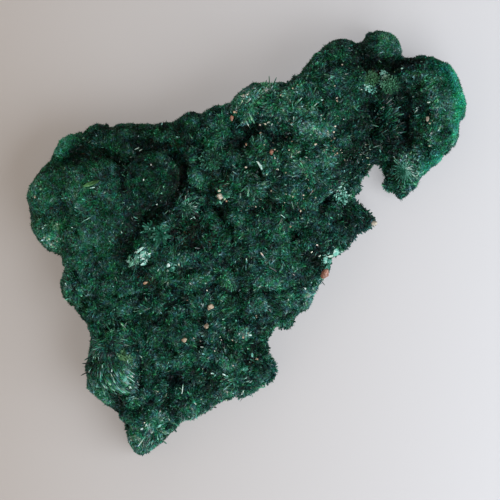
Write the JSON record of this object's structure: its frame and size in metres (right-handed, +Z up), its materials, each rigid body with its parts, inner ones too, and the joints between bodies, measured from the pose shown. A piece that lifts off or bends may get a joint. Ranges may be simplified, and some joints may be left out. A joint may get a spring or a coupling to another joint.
{
  "type": "atacamite specimen",
  "caption": "Crust of dark green crystals in rounded, knobbly lobes with sand grains caught in it; lies on a flat cut face.",
  "frame": {"origin": "middle of the plan's box, on the flat cut face underneath", "axes": "+Z up out of the cut face, +X along the long side towards the big lobe at the narrow end, +Y towards the long straight edge"},
  "size_m": [0.0702, 0.0681, 0.0158],
  "materials": {
    "green_crystals": "glassy to satin crystals, dark emerald green",
    "tan_quartz": "worn sand grain",
    "pale_quartz": "worn sand grain",
    "rust_quartz": "worn, iron-stained sand grain"
  },
  "bodies": {
    "root": {"crystal_crust": "green_crystals", "tan_grain_middle": "tan_quartz", "tan_grain_south": "tan_quartz", "tan_grain_south_west": "tan_quartz", "cream_grain_hollow": "pale_quartz", "rust_grain_north": "rust_quartz", "rust_grain_middle": "rust_quartz", "rust_grain_east_edge": "rust_quartz", "pale_grain_east_tip": "pale_quartz", "pale_grain_east_lobe": "pale_quartz"}
  },
  "joints": []
}
